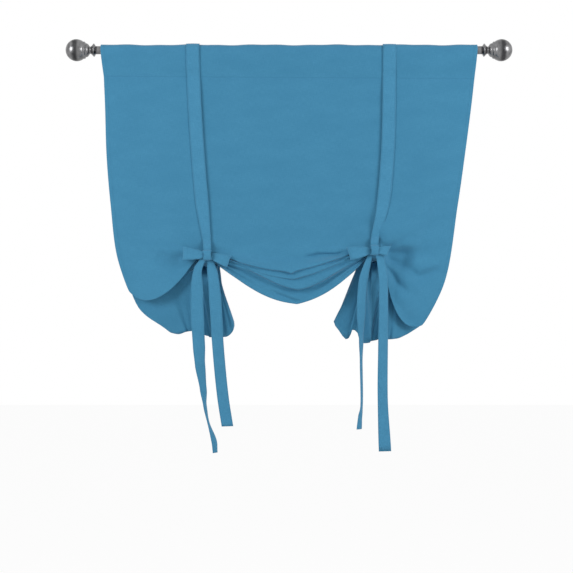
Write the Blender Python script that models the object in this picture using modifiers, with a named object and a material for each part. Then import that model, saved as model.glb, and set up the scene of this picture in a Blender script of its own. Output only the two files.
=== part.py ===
"""A tie up curtain on its rod: one cloth panel, four ties in two bows, a tube and two finials."""
import math

import bmesh
import bpy
from mathutils import Vector

# All sizes are in metres. The origin is the middle of the rod's axis.

# The panel of cloth, its rod pocket, and where the ties are sewn to it and gather it.
PANEL_WIDTH = 1.067
CLOTH = 0.0010
POCKET_EASE = 0.0012
POCKET_DEPTH = 0.078
POCKET_TURNING = 0.004
POCKET_CLOSING = 0.008
LEFT_TIE_INSET = 0.261
RIGHT_TIE_INSET = 0.249
LEFT_TIE_DROP = 0.586
RIGHT_TIE_DROP = 0.572
LEFT_TIE_LEAN = 0.042
RIGHT_TIE_LEAN = 0.044
LEFT_EDGE_PULL = 0.045
RIGHT_EDGE_PULL = 0.074
WAVE = 0.0025
WAVE_CALM = 0.070

# The gathers: noses at the front, folds between them, and the last leaf of cloth at the back.
PLEATS = 4
BUNDLE_HALF_DEPTH = 0.022
BUNDLE_PITCH = 0.0085
BUNDLE_FOLD = 0.014
BUNDLE_TOP = 0.010
BUNDLE_REAR = 0.026
LOBE_FULLNESS = 0.006
LOBE_EDGE_THIN = 0.012
STACK_HEIGHT = 0.030
STACK_STEP = 0.004
LEAF_GAP = 0.0025
BACK_LEAF = 0.036
BACK_LEAF_TOP = 0.012
SWAG_SAGS = (0.058, 0.072, 0.096, 0.128)
SWAG_NOSES = (0.030, 0.027, 0.023, 0.013)
SWAG_FOLD = 0.011
SWAG_SKEW = 1.16
SWAG_REAR = 0.040
SWAG_RISE = 0.085
TAIL_PLEAT = 0.007
TAIL_PITCH = 0.060
FLAP_OFFSET = 0.005

# The ties, sewn from the same cloth, and the two knots.
TIE_WIDTH = 0.038
TIE_CLOTH = 0.0010
TIE_GAP = 0.0008
KNOT_WIDTH = 0.026
KNOT_HEIGHT = 0.026
KNOT_DEPTH = 0.012
KNOT_CORE_DEPTH = 0.003
KNOT_SEAT = 0.004
KNOT_GAP = 0.0005
KNOT_LIFT = 0.003
KNOT_ROUNDING = 0.003
LOOP_DEPTH = 0.009
BACK_LOOP_DEPTH = 0.012

# The rod, and the finials measured outward from its end.
ROD_DIAMETER = 0.023
ROD_WALL = 0.001
ROD_BARE_END = 0.0145
SPIGOT_LENGTH = 0.030
FIT = 0.0003
EDGE_SOFTNESS = 0.0020
FLARE_RADIUS = 0.0188
FLARE_OUT = 0.0055
NECK_RADIUS = 0.0110
NECK_FROM = 0.0150
NECK_TO = 0.0195
RING_RADIUS = 0.0185
RING_FROM = 0.0235
RING_TO = 0.0265
COLLAR_RADIUS = 0.0245
COLLAR_FROM = 0.0315
COLLAR_TO = 0.0345
FINIAL_BALL_DIAMETER = 0.062
FINIAL_BALL_OFFSET = 0.055
TURNED_SIDES = 20

CLOTH_COLOUR = (0.058, 0.246, 0.407, 1.0)
METAL_COLOUR = (0.16, 0.16, 0.165, 1.0)

ROD_LENGTH = PANEL_WIDTH + 2 * ROD_BARE_END
ROD_RADIUS = ROD_DIAMETER / 2
BORE_RADIUS = ROD_RADIUS - ROD_WALL
STRAP_OFFSET = CLOTH / 2 + TIE_GAP + TIE_CLOTH / 2
KNOT_FRONT = BUNDLE_HALF_DEPTH + KNOT_SEAT + KNOT_CORE_DEPTH + KNOT_GAP
KNOT_MIDDLE = KNOT_FRONT + KNOT_DEPTH / 2
CORE_MIDDLE = KNOT_FRONT - KNOT_GAP - KNOT_CORE_DEPTH / 2
NOTCH = TIE_WIDTH / 2 + 0.002
NOTCH_CLOTH = NOTCH + 0.003
NOTCH_SIDE = NOTCH_CLOTH + 0.003


def clear_scene():
    for item in list(bpy.data.objects):
        bpy.data.objects.remove(item, do_unlink=True)


def material(name, colour, roughness, metallic):
    made = bpy.data.materials.new(name)
    made.use_nodes = True
    surface = made.node_tree.nodes["Principled BSDF"]
    surface.inputs["Base Color"].default_value = colour
    surface.inputs["Roughness"].default_value = roughness
    surface.inputs["Metallic"].default_value = metallic
    return made


def mix(a, b, share):
    return a + (b - a) * share


def ease(share):
    share = min(max(share, 0.0), 1.0)
    return share * share * (3.0 - 2.0 * share)


def bezier(ends, share):
    """A point on the cubic curve with these four control points."""
    rest = 1.0 - share
    weights = (rest ** 3, 3 * rest * rest * share, 3 * rest * share * share, share ** 3)
    return [sum(w * p[axis] for w, p in zip(weights, ends)) for axis in range(len(ends[0]))]


def knot_slope(knots, index, axis):
    """The slope at a knot that keeps a curve through them from overshooting."""
    if index in (0, len(knots) - 1):
        return 0.0
    before, here, after = knots[index - 1:index + 2]
    rise = (here[axis] - before[axis]) / (here[0] - before[0])
    fall = (after[axis] - here[axis]) / (after[0] - here[0])
    return 0.0 if rise * fall <= 0.0 else 2.0 * rise * fall / (rise + fall)


def through(knots, where):
    """A smooth value through knots (place, value, ...) that never overshoots them."""
    where = min(max(where, knots[0][0]), knots[-1][0])
    piece = next(i for i in range(len(knots) - 1) if where <= knots[i + 1][0])
    span = knots[piece + 1][0] - knots[piece][0]
    t = (where - knots[piece][0]) / span
    values = []
    for axis in range(1, len(knots[0])):
        starts, ends = (knot_slope(knots, piece + end, axis) * span for end in (0, 1))
        values.append(hermite(knots[piece][axis], starts, knots[piece + 1][axis], ends, t))
    return values


def hermite(first, first_slope, last, last_slope, t):
    """The cubic between two values with the slopes that it leaves and arrives at."""
    square, cube = t * t, t ** 3
    return ((2 * cube - 3 * square + 1) * first + (cube - 2 * square + t) * first_slope
            + (3 * square - 2 * cube) * last + (cube - square) * last_slope)


def smooth_path(points, counts):
    """Points along a curve through the given ones, with counts[i] steps in stretch i."""
    spans = [max((b - a).length, 1e-6) ** 0.5 for a, b in zip(points, points[1:])]
    slopes = [(points[1] - points[0]) / spans[0]]
    for i in range(1, len(points) - 1):
        before, after = spans[i - 1], spans[i]
        slopes.append(((points[i] - points[i - 1]) * (after / before)
                       + (points[i + 1] - points[i]) * (before / after)) / (before + after))
    slopes.append((points[-1] - points[-2]) / spans[-1])
    path = [points[0]]
    for i, count in enumerate(counts):
        for step in range(1, count + 1):
            path.append(hermite(points[i], slopes[i] * spans[i], points[i + 1],
                                slopes[i + 1] * spans[i], step / count))
    return path


class Side:
    """One end of the curtain: its tie, and the lobe that hangs outside the tie.

    Belly and crease are curves of (outward, drop) from the bow to the side edge. The back edge is
    (outward, drop, bow) at the top of the last leaf. The hem is (cloth, inward, drop), where cloth is
    the distance along the hem from the tie's own thread, inward positive. A loop is (reach, rise,
    half height, tilt) and a tail has entries (drop, aside, width as seen from the front).
    """

    def __init__(self, sign, inset, drop, lean, tie_bend, pull, bend, belly, crease, back_edge, hem,
                 loops, tails):
        self.sign = sign
        self.inset = inset
        self.drop = drop
        self.lean = lean
        self.tie_bend = tie_bend
        self.pull = pull
        self.bend = bend
        self.belly = belly
        self.crease = crease
        self.back_edge = back_edge
        self.hem = hem
        self.loops = loops
        self.tails = tails
        self.bow_x = sign * (PANEL_WIDTH / 2 - inset - lean)
        self.thread = inset if sign < 0 else PANEL_WIDTH - inset


LEFT = Side(
    -1, LEFT_TIE_INSET, LEFT_TIE_DROP, LEFT_TIE_LEAN, 1.6, LEFT_EDGE_PULL, 1.8,
    belly=((NOTCH, -0.026), (0.090, -0.022), (0.170, 0.0), (0.257, 0.0)),
    crease=((NOTCH, -0.010), (0.085, 0.062), (0.165, 0.170), (0.2164, 0.098)),
    back_edge=(0.247, -0.018, 0.036),
    hem=((-LEFT_TIE_INSET, -0.112, 0.216), (-0.200, -0.086, 0.219), (-0.150, -0.058, 0.213),
         (-0.118, -0.036, 0.211), (-0.090, -0.012, 0.222), (-0.066, 0.012, 0.228),
         (-0.050, 0.009, 0.120), (-0.036, -0.003, 0.039), (-NOTCH_SIDE, -NOTCH, 0.026),
         (-NOTCH_CLOTH, -NOTCH, 0.010), (0.0, 0.0, 0.009), (NOTCH_CLOTH, NOTCH, 0.010),
         (NOTCH_SIDE, NOTCH, 0.026), (0.036, 0.004, 0.039), (0.050, -0.002, 0.150),
         (0.066, 0.004, 0.230), (0.092, 0.046, 0.230), (0.114, 0.070, 0.212),
         (0.126, 0.074, 0.192), (0.134, 0.060, 0.158), (0.141, 0.048, 0.126),
         (0.148, 0.038, 0.090), (0.155, 0.034, 0.052), (0.162, 0.029, 0.024),
         (0.180, 0.060, 0.004)),
    loops=((-0.068, 0.005, 0.018, 0.0), (0.062, -0.018, 0.017, 0.40)),
    tails=(((0.012, -0.014, 0.018), (0.038, -0.026, 0.024), (0.095, -0.028, 0.034),
            (0.166, -0.027, 0.036), (0.250, -0.023, 0.034), (0.305, -0.020, 0.028),
            (0.373, -0.011, 0.018), (0.420, -0.006, 0.008), (0.465, 0.003, 0.004),
            (0.520, 0.020, 0.014), (0.552, 0.023, 0.012)),
           ((0.012, 0.008, 0.022), (0.052, 0.016, 0.030), (0.124, 0.023, 0.034),
            (0.250, 0.030, 0.032), (0.396, 0.044, 0.032), (0.479, 0.057, 0.032))))
RIGHT = Side(
    1, RIGHT_TIE_INSET, RIGHT_TIE_DROP, RIGHT_TIE_LEAN, 3.3, RIGHT_EDGE_PULL, 1.2,
    belly=((NOTCH, -0.026), (0.070, 0.010), (0.140, 0.070), (0.199, 0.092)),
    crease=((NOTCH, -0.010), (0.044, 0.120), (0.066, 0.235), (0.142, 0.210)),
    back_edge=(0.176, 0.052, 0.010),
    hem=((-RIGHT_TIE_INSET, -0.126, 0.219), (-0.215, -0.094, 0.236), (-0.180, -0.066, 0.247),
         (-0.140, -0.042, 0.249), (-0.112, -0.028, 0.240), (-0.090, -0.010, 0.250),
         (-0.066, 0.010, 0.254), (-0.050, 0.008, 0.120), (-0.036, 0.001, 0.039),
         (-NOTCH_SIDE, -NOTCH, 0.026), (-NOTCH_CLOTH, -NOTCH, 0.010), (0.0, 0.0, 0.009),
         (NOTCH_CLOTH, NOTCH, 0.010), (NOTCH_SIDE, NOTCH, 0.026), (0.036, 0.006, 0.039),
         (0.050, -0.002, 0.150), (0.066, 0.004, 0.238), (0.074, 0.010, 0.260),
         (0.084, 0.034, 0.262), (0.092, 0.044, 0.232), (0.098, 0.057, 0.222),
         (0.106, 0.068, 0.246), (0.114, 0.078, 0.250), (0.122, 0.099, 0.223),
         (0.128, 0.112, 0.202), (0.136, 0.099, 0.178), (0.144, 0.082, 0.138),
         (0.152, 0.062, 0.087), (0.160, 0.045, 0.047), (0.180, 0.060, 0.008)),
    loops=((0.040, -0.002, 0.014, 0.40), (-0.071, -0.006, 0.016, -0.34)),
    tails=(((0.012, 0.014, 0.022), (0.067, 0.023, 0.025), (0.110, 0.025, 0.026),
            (0.265, 0.024, 0.028), (0.410, 0.023, 0.029), (0.562, 0.029, 0.035)),
           ((0.012, -0.012, 0.016), (0.080, -0.031, 0.026), (0.165, -0.037, 0.026),
            (0.250, -0.037, 0.013), (0.310, -0.037, 0.008), (0.436, -0.036, 0.007),
            (0.465, -0.040, 0.012), (0.501, -0.043, 0.015))))

LEFT_U = LEFT.thread
RIGHT_U = RIGHT.thread
SPAN_U = RIGHT_U - LEFT_U
FLAT_LEVELS = (0.16, 0.30, 0.44)
STEPS = (1, 1, 1, 1, 2) + (2, 2) * (PLEATS - 1) + (2, 2, 3, 3)


def wave(u, drop):
    """Soft upright folds in the flat cloth, none at the ties or at the pocket."""
    calm = math.exp(-((u - LEFT_U) / WAVE_CALM) ** 2) + math.exp(-((u - RIGHT_U) / WAVE_CALM) ** 2)
    fade = ease((drop - POCKET_DEPTH) / 0.15)
    return WAVE * fade * (1.0 - min(calm, 1.0)) * math.sin(u * 26.0 + 1.0 + drop * 3.0)


def front_x(u, side, drop, share):
    """Where a thread of the flat front lies: share runs from the tie (0) to the side edge (1)."""
    level = min(max(drop, 0.0) / side.drop, 1.0)
    pulled = mix(side.lean * level ** side.tie_bend, side.pull * level ** side.bend, share)
    return u - PANEL_WIDTH / 2 - side.sign * pulled


def middle_x(u, drop):
    left = front_x(LEFT_U, LEFT, drop, 0.0)
    right = front_x(RIGHT_U, RIGHT, drop, 0.0)
    return mix(left, right, (u - LEFT_U) / SPAN_U)


def thread_x(u, drop):
    if u < LEFT_U:
        return front_x(u, LEFT, drop, 1.0 - u / LEFT_U)
    if u > RIGHT_U:
        return front_x(u, RIGHT, drop, (u - RIGHT_U) / (PANEL_WIDTH - RIGHT_U))
    return middle_x(u, drop)


def flat_point(u, drop):
    """The flat front at one thread and one height, as x, forward, z."""
    return Vector((thread_x(u, drop), CLOTH + wave(u, drop), -drop))


def pocket_points(u):
    """The pocket's turn around the rod, from the sewn edge at the back to the front."""
    reach = ROD_RADIUS + POCKET_EASE + CLOTH / 2
    seam = -POCKET_DEPTH
    places = [(-CLOTH, seam - POCKET_TURNING), (-CLOTH * 1.2, seam + POCKET_CLOSING)]
    for step in range(6):
        turn = math.radians(190.0 - 200.0 * step / 5)
        places.append((reach * math.cos(turn), reach * math.sin(turn)))
    places.append((CLOTH * 1.2, seam + POCKET_CLOSING))
    return [Vector((thread_x(u, -height), forward, height)) for forward, height in places]


def from_tie(curve, side, share):
    """A curve from the tie to the side edge, level across the width that the tie holds."""
    held = NOTCH_CLOTH / side.inset
    if share < held:
        return curve[0][0] * share / held, curve[0][1]
    return bezier(curve, (share - held) / (1.0 - held))


def lobe_depth(share):
    """How far forward the front of a lobe stands."""
    full = LOBE_FULLNESS * math.sin(math.pi * min(share * 1.2, 1.0))
    return BUNDLE_HALF_DEPTH + full - LOBE_EDGE_THIN * ease(share * 2 - 1)


def lobe_section(u, side, share):
    """Stations of a thread outside its tie, from just above the gathers to the hem."""
    out, drop = from_tie(side.belly, side, share)
    belly_depth = mix(0.016, 0.004, ease(share)) + CLOTH
    belly = Vector((side.bow_x + side.sign * out, belly_depth, -side.drop - drop))
    out, drop = from_tie(side.crease, side, share)
    nose = Vector((side.bow_x + side.sign * out, lobe_depth(share), -side.drop - drop))
    gather = 1.0 - ease((share - NOTCH_CLOTH / side.inset) / 0.30)
    fold = Vector((nose.x, BUNDLE_HALF_DEPTH - BUNDLE_FOLD, nose.z + BUNDLE_PITCH / 2))
    stations = [belly, nose]
    for pleat in range(1, PLEATS):
        flat_fold = nose + Vector((0.0, -(2 * pleat - 1) * LEAF_GAP, STACK_HEIGHT))
        flat_nose = nose + Vector((0.0, -2 * pleat * LEAF_GAP, STACK_STEP * pleat))
        tied_fold = fold - Vector((0.0, 0.0, pleat * BUNDLE_PITCH))
        tied_nose = Vector((nose.x, BUNDLE_HALF_DEPTH, nose.z - pleat * BUNDLE_PITCH))
        stations.append(flat_fold.lerp(tied_fold, gather))
        stations.append(flat_nose.lerp(tied_nose, gather))
    last = stations[-1]
    flat_rear = last + Vector((0.0, -LEAF_GAP, STACK_HEIGHT / 2))
    tied_rear = Vector((last.x, -BUNDLE_REAR, last.z + 0.002))
    stations.append(flat_rear.lerp(tied_rear, gather))
    return stations + back_leaf(side, -share * side.inset, share)


def back_leaf(side, cloth, share):
    """The last leaf behind: its fold at the top, a point half way down, and the hem."""
    edge_out, edge_drop, bow = side.back_edge
    top_out = through(((-side.inset, edge_out), (-0.150, 0.42 * edge_out), (-0.118, 0.034),
                       (-NOTCH_CLOTH, NOTCH), (0.0, 0.0), (NOTCH_CLOTH, -NOTCH),
                       (0.122, -0.029), (0.180, -0.055)), cloth)[0]
    top_drop = mix(-BACK_LEAF_TOP, edge_drop, ease(share))
    behind_lobe = lobe_depth(share) - (2 * PLEATS + 1) * LEAF_GAP
    forward = mix(-BACK_LEAF, behind_lobe, ease((share - 0.30) / 0.35))
    top = Vector((side.bow_x + side.sign * top_out, forward, -side.drop - top_drop))
    inward, drop = through(side.hem, cloth)
    away = abs(cloth)
    near = 1.0 - ease((away - 0.125) / 0.05)
    pleat = math.sin((away - 0.036) * math.tau / TAIL_PITCH) * ease((away - 0.030) / 0.020)
    flap = math.copysign(ease((away - NOTCH_CLOTH) / 0.010), -cloth)
    folded_back = 0.014 * ease((cloth - 0.126) / 0.024)
    ripple = (TAIL_PLEAT * pleat + FLAP_OFFSET * flap) * near
    hem = Vector((side.bow_x - side.sign * inward, top.y + ripple - folded_back, -side.drop - drop))
    middle = top.lerp(hem, 0.5) + Vector((side.sign * 0.8, 0.0, -0.6)) * bow * share * share
    below_tie = Vector((top.x, top.y, -side.drop - min(0.028, 0.75 * drop)))
    middle = below_tie.lerp(middle, ease((away - 0.100) / 0.060))
    middle.y = top.y + ripple * 0.4 - folded_back * 0.6
    return [top, middle, hem]


def swag_section(u):
    """Stations of a thread between the ties."""
    w = (u - LEFT_U) / SPAN_U
    x = middle_x(u, mix(LEFT.drop, RIGHT.drop, w))
    held = NOTCH_CLOTH / SPAN_U
    free = min(max((w - held) / (1.0 - 2.0 * held), 0.0), 1.0)
    level = -mix(LEFT.drop, RIGHT.drop, free)
    hang = max(math.sin(math.pi * free ** SWAG_SKEW), 0.0) ** 1.15
    open_out = ease(min(free, 1.0 - free) / 0.28)
    belly = Vector((x, CLOTH + mix(0.016, 0.010, open_out), level + 0.026 - 0.034 * hang))
    noses = []
    for pleat in range(PLEATS):
        depth = mix(BUNDLE_HALF_DEPTH, SWAG_NOSES[pleat], open_out)
        z = level + BUNDLE_TOP - pleat * BUNDLE_PITCH - SWAG_SAGS[pleat] * hang
        noses.append(Vector((x, depth, z)))
    stations = [belly, noses[0]]
    for above, below in zip(noses, noses[1:]):
        z = mix((above.z + below.z) / 2, above.z + 0.002, open_out)
        depth = mix(BUNDLE_HALF_DEPTH - BUNDLE_FOLD, below.y - SWAG_FOLD, open_out)
        stations.append(Vector((x, depth, z)))
        stations.append(below)
    last = stations[-1]
    tied_rear = Vector((x, -BUNDLE_REAR, last.z + 0.002))
    open_rear = Vector((x, -BUNDLE_REAR - 0.004, last.z + 0.030))
    stations.append(tied_rear.lerp(open_rear, open_out))
    side, cloth = (LEFT, u - LEFT_U) if w < 0.5 else (RIGHT, RIGHT_U - u)
    leaf = back_leaf(side, cloth, 0.0)
    hidden = ease((cloth - 0.150) / 0.035)
    rise = Vector((x, -SWAG_REAR, level + SWAG_RISE * hang + BACK_LEAF_TOP))
    down = Vector((x, -SWAG_REAR - 0.008, last.z + 0.036))
    between = (rise + down) / 2 - Vector((0.0, 0.006, 0.0))
    return stations + [own.lerp(other, hidden) for own, other in zip(leaf, (rise, between, down))]


def panel_thread(u):
    """One thread of the cloth from the back of the pocket to the hem, -Y towards the viewer."""
    if u <= LEFT_U:
        lower = lobe_section(u, LEFT, 1.0 - u / LEFT_U)
    elif u >= RIGHT_U:
        lower = lobe_section(u, RIGHT, (u - RIGHT_U) / (PANEL_WIDTH - RIGHT_U))
    else:
        lower = swag_section(u)
    flat = [flat_point(u, drop) for drop in (POCKET_DEPTH,) + FLAT_LEVELS]
    path = pocket_points(u) + smooth_path(flat + lower, STEPS)
    return [Vector((point.x, -point.y, point.z)) for point in path]


def thread_places():
    """Threads across the panel, closer together where the cloth is gathered into the tails."""
    lobe = (0.0, NOTCH_CLOTH, NOTCH_SIDE, 0.036, 0.050, 0.066, 0.090, 0.118, 0.150)
    swag = lobe[1:6] + (0.074, 0.084, 0.092, 0.098, 0.106, 0.114, 0.128, 0.136, 0.144, 0.152,
                        0.161, 0.180)
    places = {0.0, PANEL_WIDTH}
    places.update(LEFT_U - step for step in lobe)
    places.update(RIGHT_U + step for step in lobe)
    places.update(LEFT_U + step for step in swag)
    places.update(RIGHT_U - step for step in swag)
    for first, last, spaces in ((0.0, LEFT_U - lobe[-1], 3), (RIGHT_U + lobe[-1], PANEL_WIDTH, 3),
                                (LEFT_U + swag[-1], RIGHT_U - swag[-1], 6)):
        places.update(mix(first, last, step / spaces) for step in range(1, spaces))
    return sorted(places)


def sheet_mesh(name, rows, thickness):
    """An open strip or sheet through rows of points, given its thickness by Solidify."""
    mesh = bpy.data.meshes.new(name)
    wide = len(rows[0])
    faces = []
    for row in range(len(rows) - 1):
        for column in range(wide - 1):
            corner = row * wide + column
            faces.append((corner, corner + 1, corner + wide + 1, corner + wide))
    mesh.from_pydata([point for row in rows for point in row], [], faces)
    mesh.shade_smooth()
    made = bpy.data.objects.new(name, mesh)
    thick = made.modifiers.new("thickness", "SOLIDIFY")
    thick.thickness = thickness
    thick.offset = 0.0
    return made


def strip(name, path):
    """A strap whose path entries are its middle and the vector to its edge."""
    return sheet_mesh(name, [(middle - edge, middle + edge) for middle, edge in path], TIE_CLOTH)


def ring(name, rows):
    """A strap whose last row joins its first."""
    made = sheet_mesh(name, rows + rows[:1], TIE_CLOTH)
    shape = bmesh.new()
    shape.from_mesh(made.data)
    bmesh.ops.remove_doubles(shape, verts=shape.verts, dist=0.00001)
    shape.to_mesh(made.data)
    shape.free()
    return made


def offset_line(points, distance):
    """Points of a path in the plane across the rod, moved sideways by distance, outward positive."""
    moved = []
    for i, point in enumerate(points):
        along = points[min(i + 1, len(points) - 1)] - points[max(i - 1, 0)]
        away = Vector((0.0, along.z, -along.y)).normalized()
        moved.append(point + away * distance)
    return moved


def front_strap(side):
    """The strap over the pocket and down the front to the knot."""
    half = Vector((TIE_WIDTH / 2, 0.0, 0.0))
    narrow = Vector((KNOT_WIDTH / 2, 0.0, 0.0))
    line = offset_line(panel_thread(side.thread)[4:13], STRAP_OFFSET)
    path = [(point, half) for point in line]
    path.append((Vector((side.bow_x, -(KNOT_FRONT + 0.002), -side.drop + 0.017)), narrow * 1.1))
    path.append((Vector((side.bow_x, -KNOT_MIDDLE, -side.drop + 0.006)), narrow * 0.8))
    return path


def back_strap(side):
    """The strap down the back, forward under the gathered cloth and up behind the knot."""
    half = Vector((TIE_WIDTH / 2, 0.0, 0.0))
    narrow = Vector((KNOT_WIDTH / 2, 0.0, 0.0))
    line = offset_line(panel_thread(side.thread)[3::-1], -STRAP_OFFSET)
    bundle_foot = -side.drop + BUNDLE_TOP - (PLEATS - 1) * BUNDLE_PITCH
    low = bundle_foot - STRAP_OFFSET - 0.0024
    behind = BACK_LEAF + 0.009
    run = [(0.0035, -FLAT_LEVELS[0]), (0.0035, -FLAT_LEVELS[1]), (0.0045, -FLAT_LEVELS[2])]
    run += [(behind * 0.7, -side.drop + 0.048), (behind, -side.drop + 0.016)]
    run += [(behind, -side.drop - 0.004), (behind - 0.006, low + 0.001)]
    run += [(BUNDLE_HALF_DEPTH, low), (0.0, low), (-BUNDLE_HALF_DEPTH + 0.002, low)]
    path = [(point, half) for point in line]
    for backward, height in run:
        path.append((Vector((thread_x(side.thread, -height), backward, height)), half))
    path.append((Vector((side.bow_x, -CORE_MIDDLE + 0.001, low + 0.005)), narrow * 1.2))
    path.append((Vector((side.bow_x, -CORE_MIDDLE, -side.drop)), narrow))
    return path


def loop_rows(side, loop, near, depth, start, shape):
    """A closed ring of strap: out along the back leaf, round the end, and home on the front leaf.

    The shape's entries are (share of the way out, share of the depth, share of the height).
    """
    reach, rise, half_height, tilt = loop
    rows = []
    for along, forward, spread in shape:
        middle = Vector((side.bow_x + mix(start, reach, along), -(near + depth * forward),
                         -side.drop + KNOT_LIFT + rise * along))
        edge = Vector((tilt * along, 0.0, 1.0)).normalized() * half_height * spread
        rows.append((middle - edge, middle + edge) if reach > 0 else (middle + edge, middle - edge))
    return rows


FRONT_LOOP = ((0.10, 0.0, 0.45), (0.35, -0.25, 0.62), (0.65, -0.20, 0.86), (0.92, -0.05, 1.0),
              (1.00, 0.35, 1.0), (0.95, 0.85, 1.0), (0.68, 1.0, 0.90), (0.40, 0.75, 0.68))
BACK_LOOP = ((0.0, 0.0, 0.55), (0.35, 0.04, 0.72), (0.70, 0.08, 0.90), (0.96, 0.25, 1.0),
             (1.00, 0.5, 1.0), (0.94, 0.83, 1.0), (0.60, 1.0, 0.90), (0.25, 0.75, 0.70))


def tail_path(side, tail, near):
    """A tie's end, hanging from the knot."""
    first_drop, first_aside, first_shown = tail[0]
    path = [(Vector((side.bow_x + first_aside * 0.6, -near, -side.drop)),
             Vector((first_shown * 0.4, 0.0, 0.0)))]
    for drop, aside, shown in tail:
        half = TIE_WIDTH / 2 * mix(0.6, 1.0, ease(drop / 0.09))
        across = min(shown / 2, half)
        depth = math.sqrt(half * half - across * across) * ease(drop / 0.12) * 0.45
        forward = near + 0.004 * math.sin(drop * 14.0)
        path.append((Vector((side.bow_x + aside, -forward, -side.drop - drop)),
                     Vector((across, depth, 0.0))))
    return path


def block(name, centre, size, corner):
    """A rounded block."""
    mesh = bpy.data.meshes.new(name)
    shape = bmesh.new()
    bmesh.ops.create_cube(shape, size=1.0)
    bmesh.ops.scale(shape, vec=size, verts=shape.verts)
    bmesh.ops.translate(shape, vec=centre, verts=shape.verts)
    shape.to_mesh(mesh)
    shape.free()
    made = bpy.data.objects.new(name, mesh)
    rounding = made.modifiers.new("rounding", "BEVEL")
    rounding.width = corner
    rounding.segments = 2
    return made


def join(base, pieces, collection, guides, finish):
    """One body from a base and the pieces that run into it."""
    collection.objects.link(base)
    base.data.materials.append(finish)
    for piece in pieces:
        guides.objects.link(piece)
        piece.hide_render = True
        piece.display_type = "WIRE"
        union = base.modifiers.new(piece.name, "BOOLEAN")
        union.operation = "UNION"
        union.object = piece


def make_ties(label, side, collection, guides, cloth):
    """The front tie with its knot, and the back tie with the thin core behind the knot."""
    knot = block(label + "_front_tie", (side.bow_x, -KNOT_MIDDLE, -side.drop + KNOT_LIFT),
                 (KNOT_WIDTH, KNOT_DEPTH, KNOT_HEIGHT), KNOT_ROUNDING)
    loop = loop_rows(side, side.loops[0], KNOT_MIDDLE, LOOP_DEPTH, 0.0, FRONT_LOOP)
    join(knot, [strip(label + "_front_strap", front_strap(side)),
                ring(label + "_front_loop", loop),
                strip(label + "_front_tail", tail_path(side, side.tails[0], KNOT_MIDDLE))],
         collection, guides, cloth)
    core = block(label + "_back_tie", (side.bow_x, -CORE_MIDDLE, -side.drop + KNOT_LIFT),
                 (KNOT_WIDTH + 0.010, KNOT_CORE_DEPTH, KNOT_HEIGHT), KNOT_CORE_DEPTH / 4)
    outside_knot = math.copysign(KNOT_WIDTH / 2 + 0.0025, side.loops[1][0])
    loop = loop_rows(side, side.loops[1], CORE_MIDDLE, BACK_LOOP_DEPTH, outside_knot, BACK_LOOP)
    join(core, [strip(label + "_back_strap", back_strap(side)),
                ring(label + "_back_loop", loop),
                strip(label + "_back_tail", tail_path(side, side.tails[1], CORE_MIDDLE))],
         collection, guides, cloth)


def make_panel(collection, cloth):
    made = sheet_mesh("curtain_panel", [panel_thread(u) for u in thread_places()], CLOTH)
    made.data.materials.append(cloth)
    collection.objects.link(made)


def turned(name, profile, end, collection, metal):
    """A solid turned about the rod's axis from (along, radius) points, its own +X facing end."""
    mesh = bpy.data.meshes.new(name)
    mesh.from_pydata([(radius, 0.0, -along) for along, radius in profile], [],
                     [(i, i + 1) for i in range(len(profile) - 1)])
    made = bpy.data.objects.new(name, mesh)
    screw = made.modifiers.new("turn", "SCREW")
    screw.steps = TURNED_SIDES
    screw.render_steps = TURNED_SIDES
    screw.use_merge_vertices = True
    screw.merge_threshold = 0.00001
    screw.use_smooth_shade = True
    made.rotation_euler = (0.0, end * math.pi / 2, 0.0)
    made.data.materials.append(metal)
    collection.objects.link(made)
    return made


def make_rod(collection, metal):
    half = ROD_LENGTH / 2
    profile = [(half, BORE_RADIUS), (half, ROD_RADIUS), (-half, ROD_RADIUS), (-half, BORE_RADIUS)]
    turned("rod_tube", profile + profile[:1], -1, collection, metal)


def finial_profile():
    """Spigot, flare, neck, ring, collar and ball, with -along measured outward from the rod's end."""
    spigot = BORE_RADIUS - FIT
    ball = FINIAL_BALL_DIAMETER / 2
    profile = [(SPIGOT_LENGTH, 0.0), (SPIGOT_LENGTH, spigot), (-FIT, spigot), (-FIT, ROD_RADIUS)]
    profile += [(EDGE_SOFTNESS - FLARE_OUT, ROD_RADIUS), (-FLARE_OUT, FLARE_RADIUS)]
    profile += [(-mix(FLARE_OUT, NECK_FROM, 0.3), mix(FLARE_RADIUS, NECK_RADIUS, 0.8))]
    profile += [(-NECK_FROM, NECK_RADIUS), (-NECK_TO, NECK_RADIUS)]
    for start, stop, radius in ((RING_FROM, RING_TO, RING_RADIUS), (COLLAR_FROM, COLLAR_TO, COLLAR_RADIUS)):
        profile += [(EDGE_SOFTNESS - start, radius - EDGE_SOFTNESS), (-start, radius)]
        profile += [(-stop, radius), (-stop - EDGE_SOFTNESS, radius - EDGE_SOFTNESS)]
    facing = math.acos((FINIAL_BALL_OFFSET - COLLAR_TO - EDGE_SOFTNESS) / ball)
    arcs = 9
    for step in range(1, arcs):
        turn = mix(facing, math.pi, step / arcs)
        profile.append((-FINIAL_BALL_OFFSET + ball * math.cos(turn), ball * math.sin(turn)))
    profile.append((-FINIAL_BALL_OFFSET - ball, 0.0))
    return profile


def make_finials(collection, metal):
    for name, end in (("left_finial", -1), ("right_finial", 1)):
        made = turned(name, finial_profile(), end, collection, metal)
        made.location.x = end * ROD_LENGTH / 2


def main():
    clear_scene()
    collection = bpy.data.collections.new("tie_up_curtain")
    guides = bpy.data.collections.new("guides")
    for made in (collection, guides):
        bpy.context.scene.collection.children.link(made)
    cloth = material("blue_cloth", CLOTH_COLOUR, 0.85, 0.0)
    metal = material("pewter", METAL_COLOUR, 0.35, 1.0)
    make_rod(collection, metal)
    make_finials(collection, metal)
    make_panel(collection, cloth)
    make_ties("left", LEFT, collection, guides, cloth)
    make_ties("right", RIGHT, collection, guides, cloth)


main()
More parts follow.
